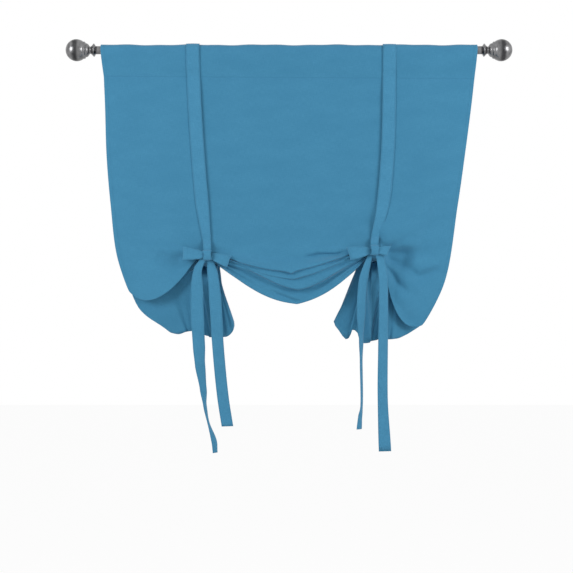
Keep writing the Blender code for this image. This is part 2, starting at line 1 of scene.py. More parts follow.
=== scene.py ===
"""A tie up curtain on its rod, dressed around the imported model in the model's own frame.

X runs along the rod, -Y is towards the viewer and Z is up, with the origin on the rod's axis.
"""
import math

import bmesh
import bpy
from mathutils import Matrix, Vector, noise


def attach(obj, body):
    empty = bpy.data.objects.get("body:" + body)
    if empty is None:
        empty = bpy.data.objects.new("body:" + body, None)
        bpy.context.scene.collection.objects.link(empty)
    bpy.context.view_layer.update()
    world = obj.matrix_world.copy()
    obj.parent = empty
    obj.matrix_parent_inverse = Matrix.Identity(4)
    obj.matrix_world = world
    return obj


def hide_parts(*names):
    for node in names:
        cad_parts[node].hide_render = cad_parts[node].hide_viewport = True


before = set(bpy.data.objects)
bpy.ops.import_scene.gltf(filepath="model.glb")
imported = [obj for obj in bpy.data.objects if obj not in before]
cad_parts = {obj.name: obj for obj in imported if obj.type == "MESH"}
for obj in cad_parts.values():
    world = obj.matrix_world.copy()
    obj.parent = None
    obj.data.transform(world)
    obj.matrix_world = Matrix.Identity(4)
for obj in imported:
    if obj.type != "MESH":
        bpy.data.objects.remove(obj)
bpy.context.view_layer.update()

# The rod is a steel tube, 23 mm across, lacquered in antique pewter. It runs through the pocket
# of the cloth, with a short bare stretch at each end, and takes the spigot of a finial in each end.
ROD_RADIUS = 0.0115
ROD_HALF = 0.548
PEWTER = (0.130, 0.130, 0.134, 1.0)
PEWTER_WORN = (0.235, 0.235, 0.240, 1.0)
# The dark of the band painted round the pewter: painted shade, a dark reflection on the ball.
PAINTED_BAND_DARK = (0.022, 0.022, 0.025, 1.0)


class Shade:
    """A value that changes over a surface, so that a material's sums can be written as sums."""

    def __init__(self, finish, socket):
        self.finish = finish
        self.socket = socket

    def work(self, operation, *terms):
        """The result of one Math operation on the terms, numbers or shades."""
        made = self.finish.node("ShaderNodeMath", {"operation": operation}, dict(enumerate(terms)))
        return made["Value"]

    def __add__(self, other):
        return self.work("ADD", self, other)

    def __mul__(self, other):
        return self.work("MULTIPLY", self, other)

    def __sub__(self, other):
        return self.work("SUBTRACT", self, other)

    def __rsub__(self, other):
        return self.work("SUBTRACT", other, self)

    def __abs__(self):
        return self.work("ABSOLUTE", self)

    __radd__ = __add__
    __rmul__ = __mul__

    def wave(self, length):
        """A sine of this value, with the given wavelength."""
        return self.work("SINE", self * (math.tau / length))

    def between(self, low, high):
        """0 below low, 1 above high, and soft between them."""
        span = {"From Min": low, "From Max": high}
        settings = {"interpolation_type": "SMOOTHSTEP"}
        return self.finish.node("ShaderNodeMapRange", settings, {"Value": self, **span})["Result"]


class Finish:
    """A material with one Principled shader, and one method that makes any other node."""

    def __init__(self, name, **plain):
        self.material = bpy.data.materials.new(name)
        self.material.use_nodes = True
        self.tree = self.material.node_tree
        self.surface = self.tree.nodes["Principled BSDF"]
        for socket, value in plain.items():
            self.feed(self.surface.inputs[socket.replace("_", " ")], value)

    def feed(self, socket, value):
        """Link a shade to a socket, or set the socket's own value."""
        if isinstance(value, Shade):
            self.tree.links.new(value.socket, socket)
        else:
            socket.default_value = value

    def node(self, kind, settings=None, inputs=None):
        """A new node's outputs by name; its settings are made first, then its sockets' values."""
        made = self.tree.nodes.new(kind)
        for name, value in (settings or {}).items():
            setattr(made, name, value)
        for key, value in (inputs or {}).items():
            if isinstance(key, int):
                socket = made.inputs[key]
            else:
                socket = next(s for s in made.inputs if key in (s.identifier, s.name))
            self.feed(socket, value)
        outputs = {}
        for socket in reversed(made.outputs):
            outputs[socket.name] = Shade(self, socket)
            outputs[socket.identifier] = Shade(self, socket)
        return outputs

    def grain(self, place, stretch, detail=2.0):
        """Noise from 0 to 1, its grain so many to the metre along each way of the place."""
        moved = self.node("ShaderNodeMapping", {}, {"Vector": place, "Scale": stretch})["Vector"]
        inputs = {"Vector": moved, "Scale": 1.0, "Detail": detail}
        return self.node("ShaderNodeTexNoise", {}, inputs)["Fac"]

    def blend(self, share, first, second):
        """A colour between two, first where the share is 0."""
        inputs = {"Factor_Float": share, "A_Color": first, "B_Color": second}
        return self.node("ShaderNodeMix", {"data_type": "RGBA"}, inputs)["Result_Color"]

    def relief(self, height, metres):
        """Raise the surface by so many metres where the height is 1."""
        inputs = {"Height": height, "Distance": metres, "Strength": 1.0}
        self.feed(self.surface.inputs["Normal"], self.node("ShaderNodeBump", {}, inputs)["Normal"])


def pewter(name, band_at, band_half):
    """Antique pewter: grey metal rubbed bright in patches, and a band round it of painted shade."""
    metal = Finish(name, Metallic=1.0)
    place = metal.node("ShaderNodeTexCoord")["Object"]
    patches = metal.grain(place, (70.0, 55.0, 55.0), 3.0)
    fine = metal.grain(place, (900.0, 240.0, 240.0), 2.0)
    along = metal.node("ShaderNodeSeparateXYZ", {}, {"Vector": place})["X"]
    # The band is painted shade: on the ball a painted dark reflection across its middle, on the rod
    # a darker end beside the finial.
    painted_band = abs(abs(along) - band_at + 0.010 * (patches - 0.5)).between(band_half, band_half * 0.25)
    grey = metal.blend((patches + 0.15 * fine).between(0.36, 0.74), PEWTER, PEWTER_WORN)
    wear_and_painted_band = metal.blend(painted_band * (1.08 - 0.5 * patches), grey, PAINTED_BAND_DARK)
    metal.feed(metal.surface.inputs["Base Color"], wear_and_painted_band)
    metal.feed(metal.surface.inputs["Roughness"], 0.20 + 0.12 * patches + 0.08 * fine)
    metal.relief(patches * 0.7 + fine * 0.3, 0.0001)
    return metal.material


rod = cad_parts["rod_tube"]
rod.data.materials.clear()
# The rod's band is painted at each end, beside the finial: painted shade.
rod.data.materials.append(pewter("rod_pewter", band_at=ROD_HALF, band_half=0.0045))

# The finials are cast and turned, in the rod's own pewter: a ball on a collar and a ring, then a
# neck that flares to a sharp edge against the rod. A plug on each is pushed into the tube.
BALL_RADIUS = 0.031
BALL_OUT = 0.055
BALL_START = 0.0362
BALL_STEPS = 26
COLLAR_RADIUS = 0.0245
RING_RADIUS = 0.0185
NECK_RADIUS = 0.0110
FLARE_RADIUS = 0.0188
PLUG_LENGTH = 0.030
PLUG_CHAMFER = 0.0012
FIT = 0.0003
TURN_STEPS = 72
SLANT = Vector((1.0, 0.137, 0.0213))


def finial_outline():
    """The turned outline as (distance out from the rod's end, radius), from the plug to the tip."""
    plug = ROD_RADIUS - 0.001 - FIT
    flare, neck, ring, collar = FLARE_RADIUS, NECK_RADIUS, RING_RADIUS, COLLAR_RADIUS
    outline = [
        (-PLUG_LENGTH, 0.0), (-PLUG_LENGTH, plug - PLUG_CHAMFER),
        (PLUG_CHAMFER - PLUG_LENGTH, plug), (FIT, plug),
        (FIT, ROD_RADIUS - 0.0004), (0.0010, ROD_RADIUS + 0.0006),
        (0.0026, flare - 0.0038), (0.0046, flare - 0.0010), (0.0052, flare - 0.0002),
        (0.0057, flare), (0.0063, flare - 0.0004), (0.0086, flare - 0.0026),
        (0.0116, flare - 0.0058), (0.0140, neck - 0.0002), (0.0162, neck - 0.0010),
        (0.0182, neck + 0.0002), (0.0200, neck + 0.0034), (0.0216, ring - 0.0022),
        (0.0232, ring - 0.0003), (0.0250, ring + 0.0004), (0.0266, ring + 0.0010),
        (0.0278, ring + 0.0008), (0.0286, ring + 0.0012), (0.0298, collar - 0.0030),
        (0.0312, collar - 0.0008), (0.0328, collar - 0.0004), (0.0344, collar - 0.0002),
        (0.0356, collar - 0.0008)]
    start = math.acos((BALL_OUT - BALL_START) / BALL_RADIUS)
    for step in range(BALL_STEPS + 1):
        turn = start + (math.pi - start) * step / BALL_STEPS
        radius = 0.0 if step == BALL_STEPS else BALL_RADIUS * math.sin(turn)
        outline.append((BALL_OUT - BALL_RADIUS * math.cos(turn), radius))
    return outline


def made_piece(name, shape, material):
    """The object of a finished shape, smooth and in its material."""
    mesh = bpy.data.meshes.new(name)
    shape.to_mesh(mesh)
    shape.free()
    mesh.shade_smooth()
    made = bpy.data.objects.new(name, mesh)
    bpy.context.scene.collection.objects.link(made)
    made.data.materials.append(material)
    return made


# The finial's band is painted round the middle of its ball: a painted dark reflection.
finial_finish = pewter("finial_pewter", band_at=ROD_HALF + BALL_OUT + 0.0034, band_half=0.0115)


def turn_finial(name, node, end):
    """Spin the outline about the rod's axis; end is -1 at the rod's left and 1 at its right.

    A spin leaves its corners and faces in an order that changes from run to run, so they are
    sorted along a slant, on which no two of them share a place.
    """
    shape = bmesh.new()
    edge = []
    for out, radius in finial_outline():
        edge.append(shape.verts.new((end * (ROD_HALF + out), 0.0, radius)))
    for first, second in zip(edge, edge[1:]):
        shape.edges.new((first, second))
    bmesh.ops.spin(shape, geom=shape.verts[:] + shape.edges[:], cent=(0, 0, 0), axis=(1, 0, 0),
                   angle=math.tau, steps=TURN_STEPS, use_merge=True)
    bmesh.ops.remove_doubles(shape, verts=shape.verts[:], dist=0.00002)
    bmesh.ops.recalc_face_normals(shape, faces=shape.faces[:])
    shape.verts.sort(key=lambda vert: vert.co.dot(SLANT))
    shape.faces.sort(key=lambda face: face.calc_center_median().dot(SLANT))
    made = made_piece(name, shape, finial_finish)
    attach(made, "root")
    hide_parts(node)


turn_finial("turned_finial_left", "left_finial", -1)
turn_finial("turned_finial_right", "right_finial", 1)

# The panel is one cut of plain woven polyester, 42 inches wide, with a rod pocket, two side hems
# and a bottom hem. It is gathered at two places by the ties, so that it hangs as a swag between
# two lobes, in four pleats at each tie and with one more leaf of cloth behind them.
PANEL_WIDTH = 1.067
PANEL_LENGTH = 1.27
CLOTH = 0.0010
POCKET_EASE = 0.0012
POCKET_DEPTH = 0.078
SIDE_HEM = 0.0105
HEM_DEPTH = 0.105
STITCH = 0.0032
PLEATS = 4
BUNDLE_HALF_DEPTH = 0.022
BUNDLE_PITCH = 0.0085
BUNDLE_FOLD = 0.007
BUNDLE_TOP = 0.010
BUNDLE_REAR = 0.026
NOTCH = 0.021
NOTCH_MOUTH = NOTCH - 0.0014
NOTCH_CLOTH = 0.024
NOTCH_SIDE = 0.027
LOBE_FULLNESS = 0.006
LOBE_EDGE_THIN = 0.012
STACK_HEIGHT = 0.014
STACK_STEP = 0.004
LEAF_GAP = 0.0025
BACK_LEAF = 0.036
BACK_LEAF_TOP = 0.012
TAIL_PLEAT = 0.007
TAIL_PITCH = 0.060
TAIL_CREASES = 0.019
TAIL_LEAN = 0.034
TAIL_BEND = 0.008
FLAP_OFFSET = 0.005
SWAG_REAR = 0.040
SWAG_RISE = 0.085
SWAG_TUCK = 0.003
# The swag's pleats from the top one down: how far each sags, how far forward it stands, how it
# leans to one side and how full it hangs, and its kink as (middle, how far drawn down, reach).
SWAG_SAGS = (0.055, 0.066, 0.088, 0.121)
SWAG_NOSES = (0.030, 0.027, 0.023, 0.013)
SWAG_SKEWS = (0.94, 1.00, 1.18, 1.09)
SWAG_FULLNESS = (1.20, 1.35, 1.52, 0.92)
SWAG_KINKS = (
    (0.006, 0.010, 0.014), (0.012, 0.006, 0.030), (0.026, 0.006, 0.030), (0.0236, 0.006, 0.030))
# The folds between them: how deep each is, and where it shows as (middle, reach, share elsewhere).
SWAG_FOLDS = (0.0056, 0.0030, 0.0052)
SWAG_SEEN = ((0.004, 0.055, 0.35), (0.034, 0.040, 0.15), (0.045, 0.085, 0.28))
# Rows of the cloth's grid: round the pocket to the stitches in front, down the flat cloth by way
# of FLAT_DROPS, and then from fold to fold of the pleats and down the leaf behind.
POCKET_STEPS = (1, 3, 4) + (2,) * 8 + (4, 3, 1)
FLAT_DROPS = (0.16, 0.30, 0.44)
FLAT_STEPS = (8, 10, 10)
PLEAT_STEPS = (28, 26) + (7, 7) * (PLEATS - 2) + (6, 15) + (4, 6, 11, 10)
STITCH_ROW = sum(POCKET_STEPS)
BLUE = (0.050, 0.236, 0.400, 1.0)
BLUE_LIGHT = (0.058, 0.258, 0.430, 1.0)
BLUE_DEEP = (0.036, 0.190, 0.338, 1.0)


def mix(a, b, share):
    """The value that lies this share of the way from a to b."""
    return a + (b - a) * share


def ease(share):
    """A share held from 0 to 1, with a soft start and a soft end."""
    share = min(max(share, 0.0), 1.0)
    return share * share * (3.0 - 2.0 * share)


def bezier(ends, share):
    """A point on the cubic curve with these four control points."""
    rest = 1.0 - share
    weights = (rest ** 3, 3 * rest * rest * share, 3 * rest * share * share, share ** 3)
    return [sum(w * p[axis] for w, p in zip(weights, ends)) for axis in range(len(ends[0]))]


def knot_slope(knots, index, axis):
    """The slope at a knot: none at the ends and at each peak, so that nothing overshoots."""
    if index == 0 or index == len(knots) - 1:
        return 0.0
    before, here, after = knots[index - 1:index + 2]
    rise = (here[axis] - before[axis]) / (here[0] - before[0])
    fall = (after[axis] - here[axis]) / (after[0] - here[0])
    return 0.0 if rise * fall <= 0.0 else 2.0 * rise * fall / (rise + fall)


def through(knots, where):
    """A smooth value through knots (place, value, ...) that never overshoots them."""
    where = min(max(where, knots[0][0]), knots[-1][0])
    piece = next((i for i in range(len(knots) - 1) if where <= knots[i + 1][0]), len(knots) - 2)
    span = knots[piece + 1][0] - knots[piece][0]
    share = (where - knots[piece][0]) / span
    square, cube = share * share, share ** 3
    values = []
    for axis in range(1, len(knots[0])):
        slopes = [knot_slope(knots, piece + end, axis) * span for end in (0, 1)]
        values.append((2 * cube - 3 * square + 1) * knots[piece][axis]
                      + (cube - 2 * square + share) * slopes[0]
                      + (3 * square - 2 * cube) * knots[piece + 1][axis]
                      + (cube - square) * slopes[1])
    return values


def smooth_path(points, counts):
    """Points along a curve through the given ones, with counts[i] steps in stretch i."""
    places = [0.0]
    for a, b in zip(points, points[1:]):
        places.append(places[-1] + max((b - a).length, 1e-6) ** 0.5)
    slopes = []
    for i in range(len(points)):
        low, high = max(i - 1, 0), min(i + 1, len(points) - 1)
        if low == i or high == i:
            slopes.append((points[high] - points[low]) / (places[high] - places[low]))
            continue
        before, after = places[i] - places[low], places[high] - places[i]
        slopes.append(((points[i] - points[low]) * (after / before)
                       + (points[high] - points[i]) * (before / after)) / (before + after))
    path = [points[0]]
    for i, count in enumerate(counts):
        span = places[i + 1] - places[i]
        for step in range(1, count + 1):
            t = step / count
            square, cube = t * t, t ** 3
            path.append((2 * cube - 3 * square + 1) * points[i]
                        + (cube - 2 * square + t) * span * slopes[i]
                        + (3 * square - 2 * cube) * points[i + 1]
                        + (cube - square) * span * slopes[i + 1])
    return path


class Side:
    """One end of the curtain: its tie, and the lobe that hangs outside the tie.

    The tie is sewn in at inset from the side edge and holds the cloth at drop below the rod. By
    there it leans in by lean, and the side edge is pulled in by pull; waist hollows the edge above.
    Points are given as (outward, drop) from the bow. The hem's are (cloth, inward, drop), where
    cloth is the distance along the hem from the tie's own thread, inward positive. back_edge is
    (outward, drop, how far it bows out) of the leaf behind the lobe.
    """

    def __init__(self, sign, inset, drop, lean, tie_bend, pull, bend, waist,
                 belly, crease, back_edge, hem):
        self.sign = sign
        self.inset = inset
        self.drop = drop
        self.lean = lean
        self.tie_bend = tie_bend
        self.pull = pull
        self.bend = bend
        self.waist = waist
        self.belly = belly
        self.crease = crease
        self.back_edge = back_edge
        self.hem = hem
        self.bow_x = sign * (PANEL_WIDTH / 2 - inset - lean)


LEFT = Side(
    -1, 0.261, 0.586, 0.042, 1.6, 0.045, 1.8, 0.0078,
    belly=((NOTCH, -0.026), (0.090, -0.022), (0.170, 0.0), (0.257, 0.0)),
    crease=((NOTCH, -0.010), (0.085, 0.095), (0.165, 0.163), (0.2215, 0.099)),
    back_edge=(0.252, -0.018, 0.038),
    hem=((-0.261, -0.116, 0.209), (-0.240, -0.106, 0.2165), (-0.200, -0.084, 0.2205),
         (-0.150, -0.058, 0.213), (-0.118, -0.036, 0.211), (-0.090, -0.012, 0.222),
         (-0.066, 0.012, 0.228), (-0.050, 0.009, 0.120), (-0.036, 0.004, 0.030),
         (-NOTCH_SIDE, -NOTCH_MOUTH, 0.026), (-NOTCH_CLOTH, -NOTCH, 0.010), (0.0, 0.0, 0.009),
         (NOTCH_CLOTH, NOTCH, 0.010), (NOTCH_SIDE, NOTCH_MOUTH, 0.024), (0.036, -0.003, 0.030),
         (0.050, -0.002, 0.150),
         (0.066, 0.004, 0.230), (0.092, 0.046, 0.230), (0.114, 0.070, 0.212),
         (0.126, 0.074, 0.192), (0.134, 0.060, 0.158), (0.141, 0.048, 0.126),
         (0.148, 0.038, 0.090), (0.155, 0.034, 0.052), (0.162, 0.029, 0.024),
         (0.180, 0.060, 0.004)))
RIGHT = Side(
    1, 0.249, 0.572, 0.044, 3.3, 0.074, 1.2, 0.0,
    belly=((NOTCH, -0.026), (0.070, 0.010), (0.140, 0.070), (0.199, 0.092)),
    crease=((NOTCH, -0.010), (0.040, 0.130), (0.066, 0.235), (0.135, 0.2090)),
    back_edge=(0.176, 0.052, 0.010),
    hem=((-0.249, -0.131, 0.213), (-0.215, -0.094, 0.236), (-0.180, -0.066, 0.247),
         (-0.140, -0.042, 0.249), (-0.112, -0.028, 0.240), (-0.090, -0.010, 0.250),
         (-0.066, 0.010, 0.254), (-0.050, 0.008, 0.120), (-0.036, 0.005, 0.030),
         (-NOTCH_SIDE, -NOTCH_MOUTH, 0.026), (-NOTCH_CLOTH, -NOTCH, 0.010), (0.0, 0.0, 0.009),
         (NOTCH_CLOTH, NOTCH, 0.010), (NOTCH_SIDE, NOTCH_MOUTH, 0.024), (0.036, 0.000, 0.030),
         (0.050, -0.002, 0.150), (0.066, 0.004, 0.238), (0.074, 0.010, 0.260),
         (0.084, 0.034, 0.262), (0.092, 0.044, 0.232), (0.098, 0.057, 0.222),
         (0.106, 0.068, 0.246), (0.114, 0.078, 0.250), (0.122, 0.099, 0.223),
         (0.128, 0.112, 0.202), (0.136, 0.099, 0.178), (0.144, 0.082, 0.138),
         (0.152, 0.062, 0.087), (0.160, 0.045, 0.047), (0.180, 0.060, 0.008)))
# Soft creases that draw the cloth back below a line and raise it above, and a valley with even
# sides beside the right lobe: each has its line as (x, z) points, its depth and its reach.
CREASES = (
    (((0.031, -0.587), (0.082, -0.576), (0.131, -0.576), (0.162, -0.570)), 0.0060, 0.006),
    (((-0.065, -0.674), (-0.031, -0.687), (0.003, -0.701), (0.023, -0.708), (0.043, -0.705)),
     0.0050, 0.0050),
    (((-0.372, -0.565), (-0.335, -0.587), (-0.298, -0.584)), 0.0036, 0.014),
    (((0.252, -0.560), (0.290, -0.551), (0.325, -0.553), (0.372, -0.572)), 0.0190, 0.038),
    (((0.335, -0.606), (0.369, -0.634), (0.400, -0.621), (0.443, -0.607)), 0.0050, 0.009),
    (((0.255, -0.586), (0.301, -0.638), (0.350, -0.690)), 0.0060, 0.012))
VALLEYS = (
    (((0.262, -0.640), (0.281, -0.693), (0.309, -0.731), (0.336, -0.764), (0.368, -0.792)),
     0.0100, 0.022),)
# The fine folds that fan from each tie: how deep they are outside it and inside it.
FANS = ((LEFT, 0.0014, 0.0028), (RIGHT, 0.0028, 0.0024))
LEFT_U = LEFT.inset
RIGHT_U = PANEL_WIDTH - RIGHT.inset
SPAN_U = RIGHT_U - LEFT_U


def wave(u, drop):
    """Soft upright folds in the flat cloth, none at the ties or at the pocket."""
    calm = math.exp(-((u - LEFT_U) / 0.07) ** 2) + math.exp(-((u - RIGHT_U) / 0.07) ** 2)
    fade = ease((drop - POCKET_DEPTH) / 0.15) * (1.0 - min(calm, 1.0))
    swell = math.sin(u * 26.0 + 1.0 + drop * 3.0)
    swell += 0.7 * noise.noise(Vector((u * 9.0, drop * 3.0, 4.0)))
    return 0.0025 * fade * swell


def front_x(u, side, drop, share):
    """Where a thread of the flat front lies: share runs from the tie (0) to the side edge (1)."""
    level = min(max(drop, 0.0) / side.drop, 1.0)
    part = max(drop, 0.0) / 0.12
    waist = side.waist * (part * math.exp(1.0 - part)) ** 2 * share * share
    pulled = mix(side.lean * level ** side.tie_bend, side.pull * level ** side.bend, share) + waist
    return u - PANEL_WIDTH / 2 - side.sign * pulled


def middle_x(u, drop):
    """Where a thread between the ties lies."""
    left = front_x(LEFT_U, LEFT, drop, 0.0)
    right = front_x(RIGHT_U, RIGHT, drop, 0.0)
    return mix(left, right, (u - LEFT_U) / SPAN_U)


def thread_x(u, drop):
    """Where any thread of the flat front lies; u is its distance across the cut."""
    if u < LEFT_U:
        return front_x(u, LEFT, drop, 1.0 - u / LEFT_U)
    if u > RIGHT_U:
        return front_x(u, RIGHT, drop, (u - RIGHT_U) / (PANEL_WIDTH - RIGHT_U))
    return middle_x(u, drop)


def pocket_points(u):
    """The pocket's turn around the rod, from the sewn edge at the back to the stitches in front."""
    slack = 0.0009 * (1.0 + math.sin(u * 31.0)) + 0.0006 * (1.0 + math.sin(u * 74.0 + 2.0))
    reach = ROD_RADIUS + POCKET_EASE + CLOTH / 2 + slack
    seam = -POCKET_DEPTH
    corners = [(-CLOTH, seam - 0.004), (-CLOTH * 1.2, seam + 0.006), (-reach * 0.62, seam * 0.52)]
    for step in range(9):
        turn = math.radians(188.0 - 196.0 * step / 8)
        corners.append((reach * math.cos(turn), reach * math.sin(turn)))
    corners += [(reach * 0.60, seam * 0.52), (CLOTH * 1.4, seam + 0.006), (CLOTH * 0.9, seam)]
    points = [Vector((thread_x(u, -height), forward, height)) for forward, height in corners]
    return smooth_path(points, POCKET_STEPS)


def across_line(line, x, z):
    """Where a place lies by a line of (x, z) points: how far below it, and its share along it."""
    best = None
    for index, ((x0, z0), (x1, z1)) in enumerate(zip(line, line[1:])):
        along_x, along_z = x1 - x0, z1 - z0
        run = math.hypot(along_x, along_z)
        share = ((x - x0) * along_x + (z - z0) * along_z) / (run * run)
        held = min(max(share, 0.0), 1.0)
        away = math.hypot(x - x0 - held * along_x, z - z0 - held * along_z)
        if best is None or away < best[0]:
            below = (x - x0) * along_z - (z - z0) * along_x
            best = (away, math.copysign(away, below), (index + held) / (len(line) - 1))
    return best[1:]


def pressed(x, z):
    """How far back the creases, the valleys and the fans of fine folds draw the cloth."""
    push = 0.0
    for line, depth, reach in CREASES:
        below, share = across_line(line, x, z)
        ends = ease(min(share, 1.0 - share) / 0.25)
        strength = -0.5 if below < 0.0 else 1.0
        part = abs(below) / reach
        push += strength * depth * ends * part * math.exp(1.0 - part)
    for line, depth, reach in VALLEYS:
        below, share = across_line(line, x, z)
        push += depth * ease(min(share, 1.0 - share) / 0.30) * math.exp(-(below / reach) ** 2)
    for side, outer, inner in FANS:
        across, down = side.sign * (x - side.bow_x), -side.drop - z
        away = math.hypot(across, down)
        turn = math.degrees(math.atan2(down, across))
        near = ease((away - 0.030) / 0.040) * (1.0 - ease((away - 0.100) / 0.130))
        if -40.0 < turn < 80.0:
            edge = ease((turn + 40.0) / 30.0) * ease((80.0 - turn) / 30.0)
            push += outer * near * edge * math.sin(math.tau * turn / 24.0 + 1.0)
        elif 135.0 < turn < 175.0:
            edge = ease((turn - 135.0) / 8.0) * ease((175.0 - turn) / 8.0)
            push += inner * near * edge * math.sin(math.tau * turn / 8.6)
    return push


def from_tie(curve, side, share):
    """A curve from the tie to the side edge, level across the width that the tie holds."""
    held = NOTCH_CLOTH / side.inset
    if share < held:
        return curve[0][0] * share / held, curve[0][1]
    return bezier(curve, (share - held) / (1.0 - held))


def lobe_depth(share):
    """How far forward the front of a lobe stands."""
    full = LOBE_FULLNESS * math.sin(math.pi * min(share * 1.2, 1.0))
    return BUNDLE_HALF_DEPTH + full - LOBE_EDGE_THIN * ease(share * 2 - 1)


def lobe_section(u, side, share):
    """Stations of a thread outside its tie, from just above the gathers to the hem."""
    out, drop = from_tie(side.belly, side, share)
    belly_depth = mix(0.016, 0.004, ease(share)) + CLOTH
    belly = Vector((side.bow_x + side.sign * out, belly_depth, -side.drop - drop))
    out, drop = from_tie(side.crease, side, share)
    nose = Vector((side.bow_x + side.sign * out, lobe_depth(share), -side.drop - drop))
    gather = 1.0 - ease((share - NOTCH_CLOTH / side.inset) / 0.30)
    fold = Vector((nose.x, BUNDLE_HALF_DEPTH - BUNDLE_FOLD, nose.z + BUNDLE_PITCH / 2))
    stations = [belly, nose]
    for pleat in range(1, PLEATS):
        flat_fold = nose + Vector((0.0, -(2 * pleat - 1) * LEAF_GAP, STACK_HEIGHT))
        flat_nose = nose + Vector((0.0, -2 * pleat * LEAF_GAP, STACK_STEP * pleat))
        tied_fold = fold - Vector((0.0, 0.0, pleat * BUNDLE_PITCH))
        tied_nose = Vector((nose.x, BUNDLE_HALF_DEPTH, nose.z - pleat * BUNDLE_PITCH))
        stations.append(flat_fold.lerp(tied_fold, gather))
        stations.append(flat_nose.lerp(tied_nose, gather))
    last = stations[-1]
    flat_rear = last + Vector((0.0, -LEAF_GAP, STACK_HEIGHT / 2))
    tied_rear = Vector((last.x, -BUNDLE_REAR, last.z + 0.002))
    stations.append(flat_rear.lerp(tied_rear, gather))
    return stations + back_leaf(side, -share * side.inset, share)


def back_leaf(side, cloth, share):
    """The last leaf behind: its fold at the top, a point half way down, and the hem."""
    edge_out, edge_drop, bow = side.back_edge
    top_out = through(((-side.inset, edge_out), (-0.150, 0.42 * edge_out), (-0.118, 0.034),
                       (-NOTCH_CLOTH, NOTCH), (0.0, 0.0), (NOTCH_CLOTH, -NOTCH),
                       (0.122, -0.029), (0.180, -0.055)), cloth)[0]
    top_drop = mix(-BACK_LEAF_TOP, edge_drop, ease(share))
    behind_lobe = lobe_depth(share) - (2 * PLEATS + 1) * LEAF_GAP
    forward = mix(-BACK_LEAF, behind_lobe, ease((share - 0.12) / 0.30))
    top = Vector((side.bow_x + side.sign * top_out, forward, -side.drop - top_drop))
    inward, drop = through(side.hem, cloth)
    away = abs(cloth)
    near = 1.0 - ease((away - 0.125) / 0.05)
    pleat = math.sin((away - 0.036) * math.tau / TAIL_PITCH)
    pleat += 0.3 * math.sin(away * math.tau / TAIL_CREASES)
    pleat *= ease((away - 0.030) / 0.020)
    flap = math.copysign(ease((away - NOTCH_CLOTH) / 0.010), -cloth)
    folded_back = 0.014 * ease((cloth - 0.126) / 0.024)
    ripple = (TAIL_PLEAT * pleat + FLAP_OFFSET * flap) * near
    lean = TAIL_LEAN * (1.0 - ease((away - 0.050) / 0.060)) * min(drop / 0.10, 1.0)
    hem_y = top.y + ripple - folded_back + lean
    hem = Vector((side.bow_x - side.sign * inward, hem_y, -side.drop - drop))
    middle = top.lerp(hem, 0.5 + 0.12 * share * share)
    middle += Vector((side.sign * 0.8, 0.0, -0.6)) * bow * share * share
    below_tie = Vector((top.x, top.y, -side.drop - min(0.028, 0.75 * drop)))
    middle = below_tie.lerp(middle, ease((away - 0.100) / 0.060))
    middle.x += side.sign * TAIL_BEND * ease((cloth - 0.090) / 0.030)
    middle.y = top.y + ripple * 0.4 - folded_back * 0.6 + lean * 0.6
    return [top, middle, hem]


def swag_section(u):
    """Stations of a thread between the ties."""
    w = (u - LEFT_U) / SPAN_U
    x = middle_x(u, mix(LEFT.drop, RIGHT.drop, w))
    held = NOTCH_CLOTH / SPAN_U
    free = min(max((w - held) / (1.0 - 2.0 * held), 0.0), 1.0)
    level = -mix(LEFT.drop, RIGHT.drop, free)
    hangs = []
    for skew, full in zip(SWAG_SKEWS, SWAG_FULLNESS):
        hangs.append(max(math.sin(math.pi * free ** skew), 0.0) ** full)
    hang = hangs[-1]
    open_out = ease(min(free, 1.0 - free) / 0.28)
    belly = Vector((x, CLOTH + mix(0.016, 0.010, open_out), level + 0.026 - 0.034 * hang))
    noses = []
    for pleat in range(PLEATS):
        middle, drawn, reach = SWAG_KINKS[pleat]
        kink = drawn * math.exp(-abs(x - middle) / reach)
        depth = mix(BUNDLE_HALF_DEPTH, SWAG_NOSES[pleat], open_out)
        z = level + BUNDLE_TOP - pleat * BUNDLE_PITCH - SWAG_SAGS[pleat] * hangs[pleat] - kink
        noses.append(Vector((x, depth, z)))
    stations = [belly, noses[0]]
    for above, below, fold, (middle, reach, least) in zip(noses, noses[1:], SWAG_FOLDS, SWAG_SEEN):
        seen = mix(least, 1.0, math.exp(-((x - middle) / reach) ** 2))
        z = mix((above.z + below.z) / 2, above.z - SWAG_TUCK, open_out)
        tucked = mix((above.y + below.y) / 2, below.y - fold, seen)
        depth = mix(BUNDLE_HALF_DEPTH - BUNDLE_FOLD, tucked, open_out)
        stations.append(Vector((x, depth, z)))
        stations.append(below)
    last = stations[-1]
    tied_rear = Vector((x, -BUNDLE_REAR, last.z + 0.002))
    open_rear = Vector((x, -BUNDLE_REAR - 0.004, last.z + 0.030))
    stations.append(tied_rear.lerp(open_rear, open_out))
    side, cloth = (LEFT, u - LEFT_U) if w < 0.5 else (RIGHT, RIGHT_U - u)
    leaf = back_leaf(side, cloth, 0.0)
    hidden = ease((cloth - 0.160) / 0.022)
    rise = Vector((x, -SWAG_REAR, level + SWAG_RISE * hang + BACK_LEAF_TOP))
    down = Vector((x, -SWAG_REAR - 0.008, last.z + 0.036))
    between = (rise + down) / 2 - Vector((0.0, 0.006, 0.0))
    return stations + [own.lerp(other, hidden) for own, other in zip(leaf, (rise, between, down))]


def panel_thread(u):
    """One thread of the cloth from the back of the pocket to the hem, -Y towards the viewer."""
    if u <= LEFT_U:
        lower = lobe_section(u, LEFT, 1.0 - u / LEFT_U)
    elif u >= RIGHT_U:
        lower = lobe_section(u, RIGHT, (u - RIGHT_U) / (PANEL_WIDTH - RIGHT_U))
    else:
        lower = swag_section(u)
    pocket = pocket_points(u)
    flat = []
    for drop in FLAT_DROPS:
        flat.append(Vector((thread_x(u, drop), CLOTH + wave(u, drop), -drop)))
    path = pocket[:-1] + smooth_path(pocket[-1:] + flat + lower, FLAT_STEPS + PLEAT_STEPS)
    return [Vector((point.x, pressed(point.x, point.z) - point.y, point.z)) for point in path]


